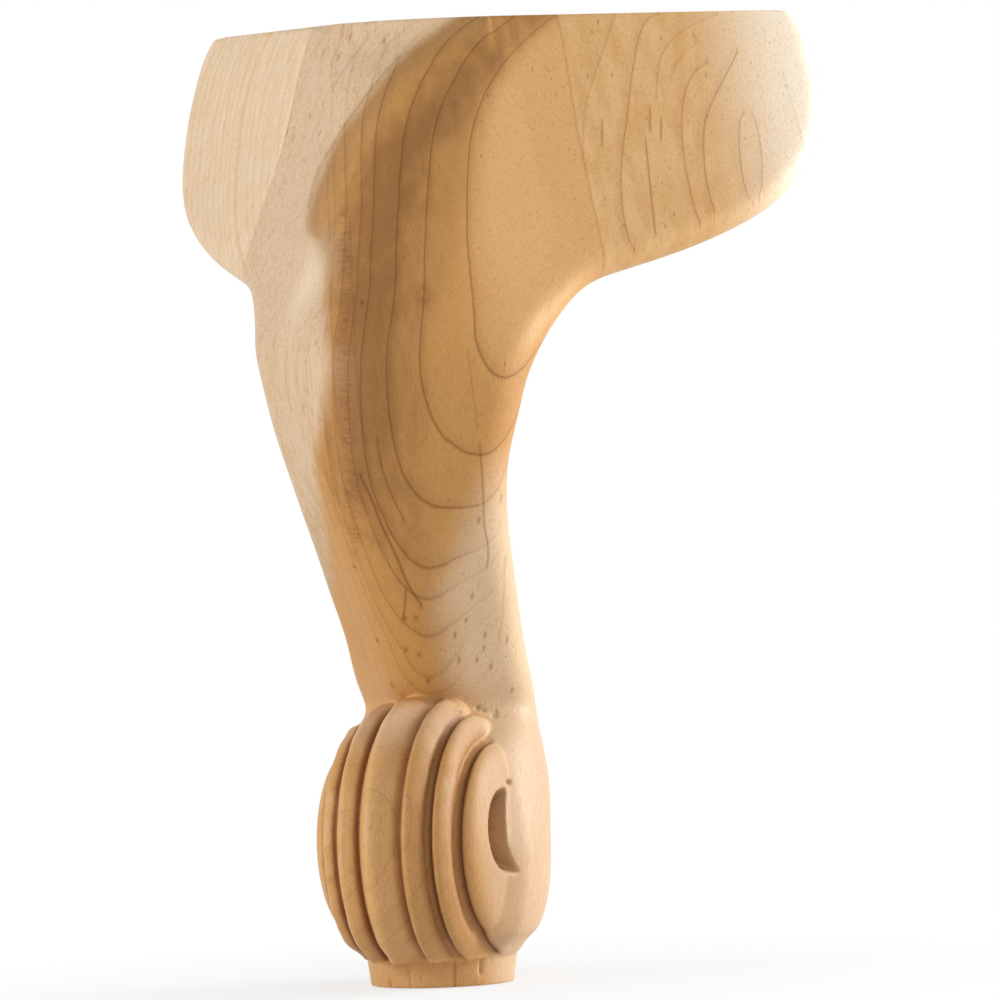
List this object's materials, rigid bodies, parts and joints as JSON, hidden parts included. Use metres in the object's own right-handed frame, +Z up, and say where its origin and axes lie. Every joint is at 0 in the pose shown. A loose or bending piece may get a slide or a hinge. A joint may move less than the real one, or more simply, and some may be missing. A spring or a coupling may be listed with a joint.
{
  "type": "carved furniture leg",
  "caption": "Carved wooden corner leg with a curved knee, two side ears under the rails, and a reeded scroll foot on a round pad.",
  "frame": {"origin": "middle of the foot pad's underside", "axes": "+Z up along the leg, +X along the right ear, +Y along the left ear, so the knee looks between -X and -Y"},
  "size_m": [0.158, 0.158, 0.254],
  "materials": {
    "post_wood": "bare sanded hardwood, honey brown with darker heartwood",
    "right_ear_wood": "bare sanded hardwood, pale cream",
    "left_ear_wood": "bare sanded hardwood, pale cream"
  },
  "bodies": {
    "root": {"leg_post": "post_wood", "right_ear": "right_ear_wood", "left_ear": "left_ear_wood"}
  },
  "joints": []
}
